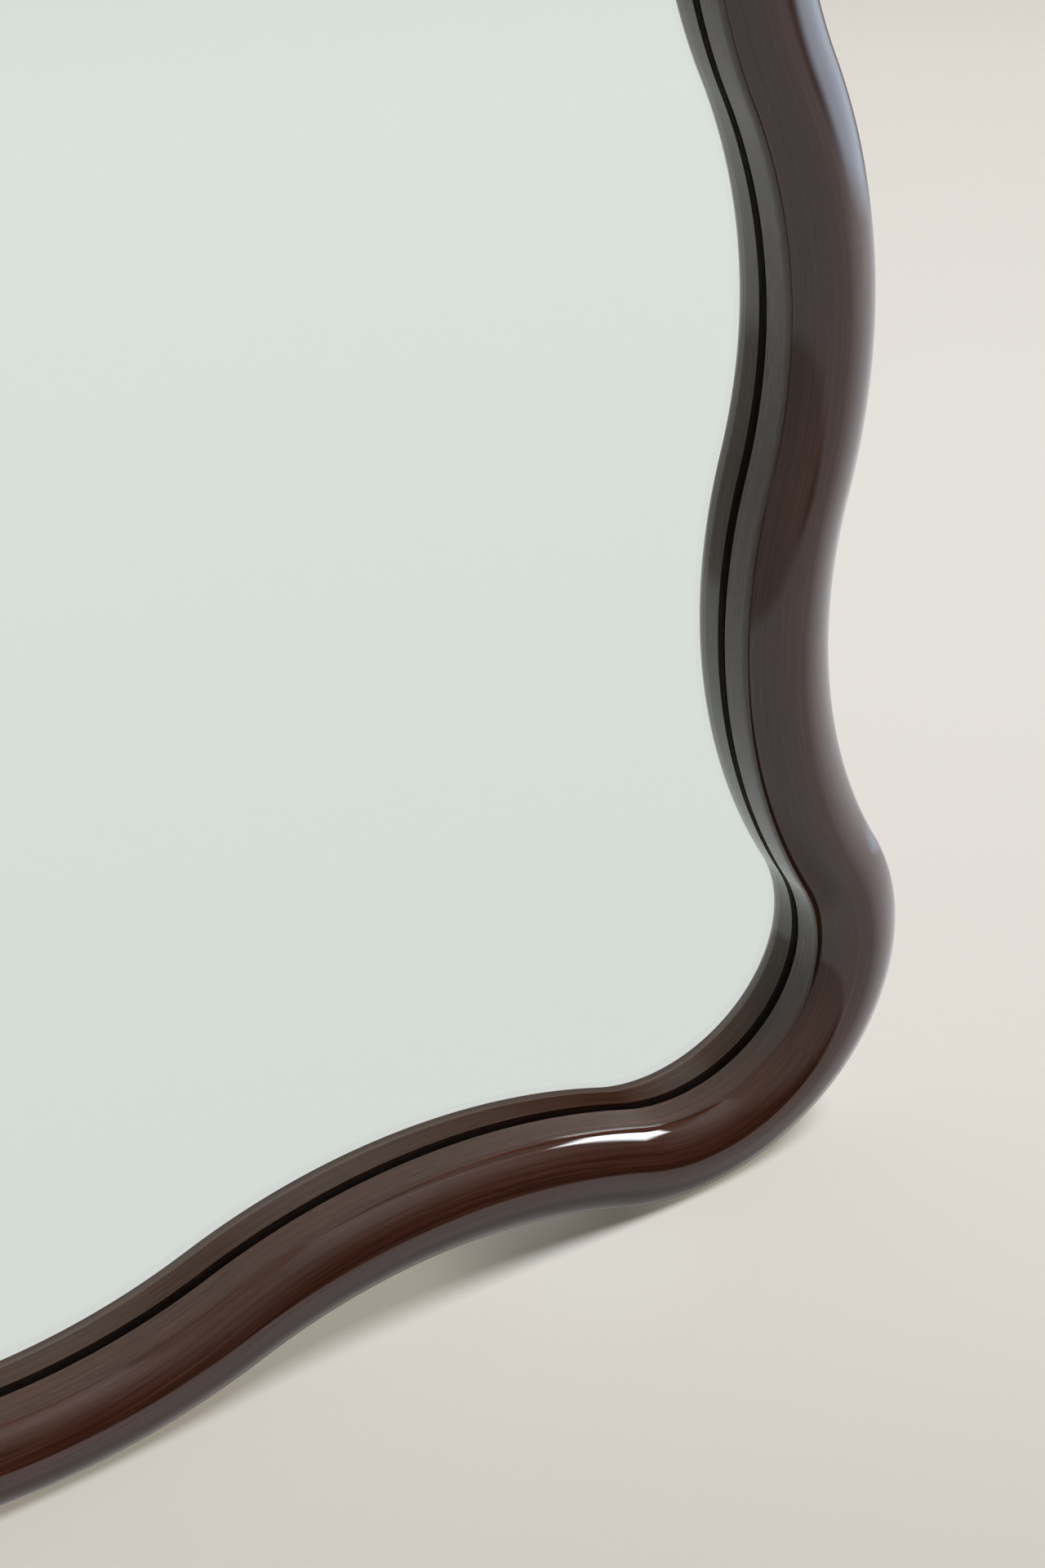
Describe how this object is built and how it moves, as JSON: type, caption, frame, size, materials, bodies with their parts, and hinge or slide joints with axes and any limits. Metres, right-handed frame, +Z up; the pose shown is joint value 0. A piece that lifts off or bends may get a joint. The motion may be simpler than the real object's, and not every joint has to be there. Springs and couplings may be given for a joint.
{
  "type": "full-length mirror",
  "caption": "Tall framed mirror with a wavy, round-fronted wooden frame in dark gloss lacquer, to lean on a wall or hang from ring hangers on its back.",
  "frame": {"origin": "on the floor line under the middle of the mirror, half way through its whole depth, bumpers included", "axes": "+Z up along the tall side, +X to the viewer's right, the glass faces -Y and the wall is at +Y"},
  "size_m": [0.806, 0.0445, 1.793],
  "materials": {
    "lacquered_wood": "gloss",
    "beech": "matte",
    "black_foam_tape": "matte",
    "silvered_glass": "polished",
    "safety_film": "satin",
    "card": "matte",
    "fibreboard": "matte",
    "zinc_plated_steel": "satin",
    "black_rubber": "matte",
    "cork": "matte"
  },
  "bodies": {
    "mirror": {"left_stile": "lacquered_wood", "right_stile": "lacquered_wood", "top_rail": "lacquered_wood", "bottom_rail": "lacquered_wood", "mitre_dowels": "beech", "glazing_tape": "black_foam_tape", "mirror_glass": "silvered_glass", "silvered_film": "safety_film", "card_liner": "card", "back_panel": "fibreboard", "panel_screws": "zinc_plated_steel", "setting_blocks": "black_rubber", "edge_spacers": "cork", "left_hanger_strap": "zinc_plated_steel", "right_hanger_strap": "zinc_plated_steel", "hanger_screws": "zinc_plated_steel", "wall_bumpers": "black_rubber"},
    "left_ring": {"left_hanger_ring": "zinc_plated_steel"},
    "right_ring": {"right_hanger_ring": "zinc_plated_steel"}
  },
  "joints": [
    {"name": "left_ring_swing", "type": "hinge", "parent": "mirror", "child": "left_ring", "pos_m": [-0.38967, 0.0186, 1.41108], "axis": [1, 0, 0], "range_deg": [0, 172]},
    {"name": "right_ring_swing", "type": "hinge", "parent": "mirror", "child": "right_ring", "pos_m": [0.38967, 0.0186, 1.41108], "axis": [1, 0, 0], "range_deg": [0, 172]}
  ]
}
